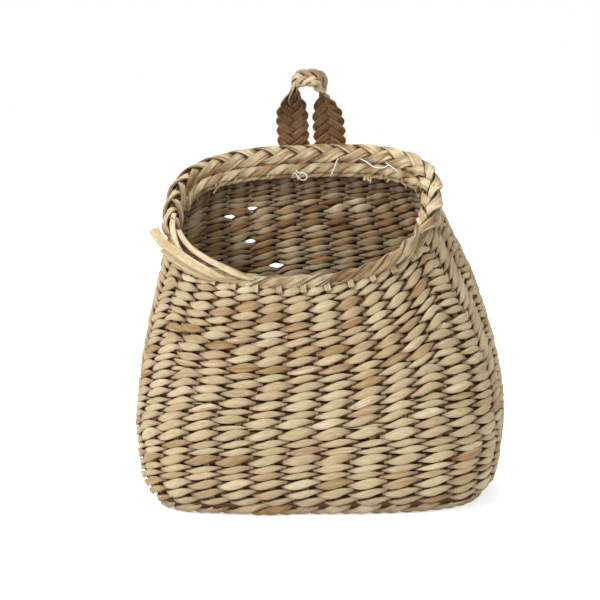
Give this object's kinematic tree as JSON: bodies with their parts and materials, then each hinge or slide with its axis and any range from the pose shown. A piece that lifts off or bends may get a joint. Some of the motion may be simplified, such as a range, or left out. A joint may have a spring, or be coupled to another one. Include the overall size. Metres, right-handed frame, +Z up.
{
  "type": "seagrass storage basket",
  "caption": "Open hand-woven storage basket with a flat back, tilted mouth, plaited border and a braided loop that folds and springs back.",
  "frame": {"origin": "centre of the base's flat underside, on the surface the basket stands on", "axes": "+X to the basket's right seen from the front, +Y from the front to the flat back, +Z up from the base to the loop"},
  "size_m": [0.2982, 0.1756, 0.345],
  "materials": {
    "woven_seagrass": "matte",
    "inside_seagrass": "matte",
    "border_seagrass": "matte",
    "braided_strap": "matte",
    "stake_reed": "matte",
    "nylon_thread": "gloss"
  },
  "bodies": {
    "basket": {"base_inner_mat": "inside_seagrass", "base_outer_mat": "woven_seagrass", "base_spokes": "stake_reed", "foot_wale": "woven_seagrass", "inner_weave": "inside_seagrass", "loop_tail_left": "braided_strap", "loop_tail_right": "braided_strap", "nylon_curl": "nylon_thread", "nylon_loop": "nylon_thread", "outer_weave": "woven_seagrass", "rim_binding_1": "inside_seagrass", "rim_binding_2": "inside_seagrass", "rim_border": "border_seagrass", "rim_join_wrap": "border_seagrass", "stake_01": "stake_reed", "stake_02": "stake_reed", "stake_03": "stake_reed", "stake_04": "stake_reed", "stake_05": "stake_reed", "stake_06": "stake_reed", "stake_07": "stake_reed", "stake_08": "stake_reed", "stake_09": "stake_reed", "stake_10": "stake_reed", "stake_11": "stake_reed", "stake_12": "stake_reed", "stake_13": "stake_reed", "stake_14": "stake_reed", "stake_15": "stake_reed", "stake_16": "stake_reed", "stake_17": "stake_reed", "stake_18": "stake_reed", "stake_19": "stake_reed", "stake_20": "stake_reed", "stake_21": "stake_reed", "stake_22": "stake_reed", "stake_23": "stake_reed", "stake_24": "stake_reed", "stake_25": "stake_reed", "stake_26": "stake_reed", "stake_27": "stake_reed", "stake_28": "stake_reed", "stake_29": "stake_reed", "stake_30": "stake_reed", "tail_stitches": "nylon_thread"},
    "loop": {"hanging_loop": "braided_strap"}
  },
  "joints": [
    {"name": "loop_fold", "type": "hinge", "parent": "basket", "child": "loop", "pos_m": [-0.004, 0.0833, 0.289], "axis": [1, 0, 0], "range_deg": [-85, 68], "stiffness_Nm_per_rad": 0.05}
  ]
}
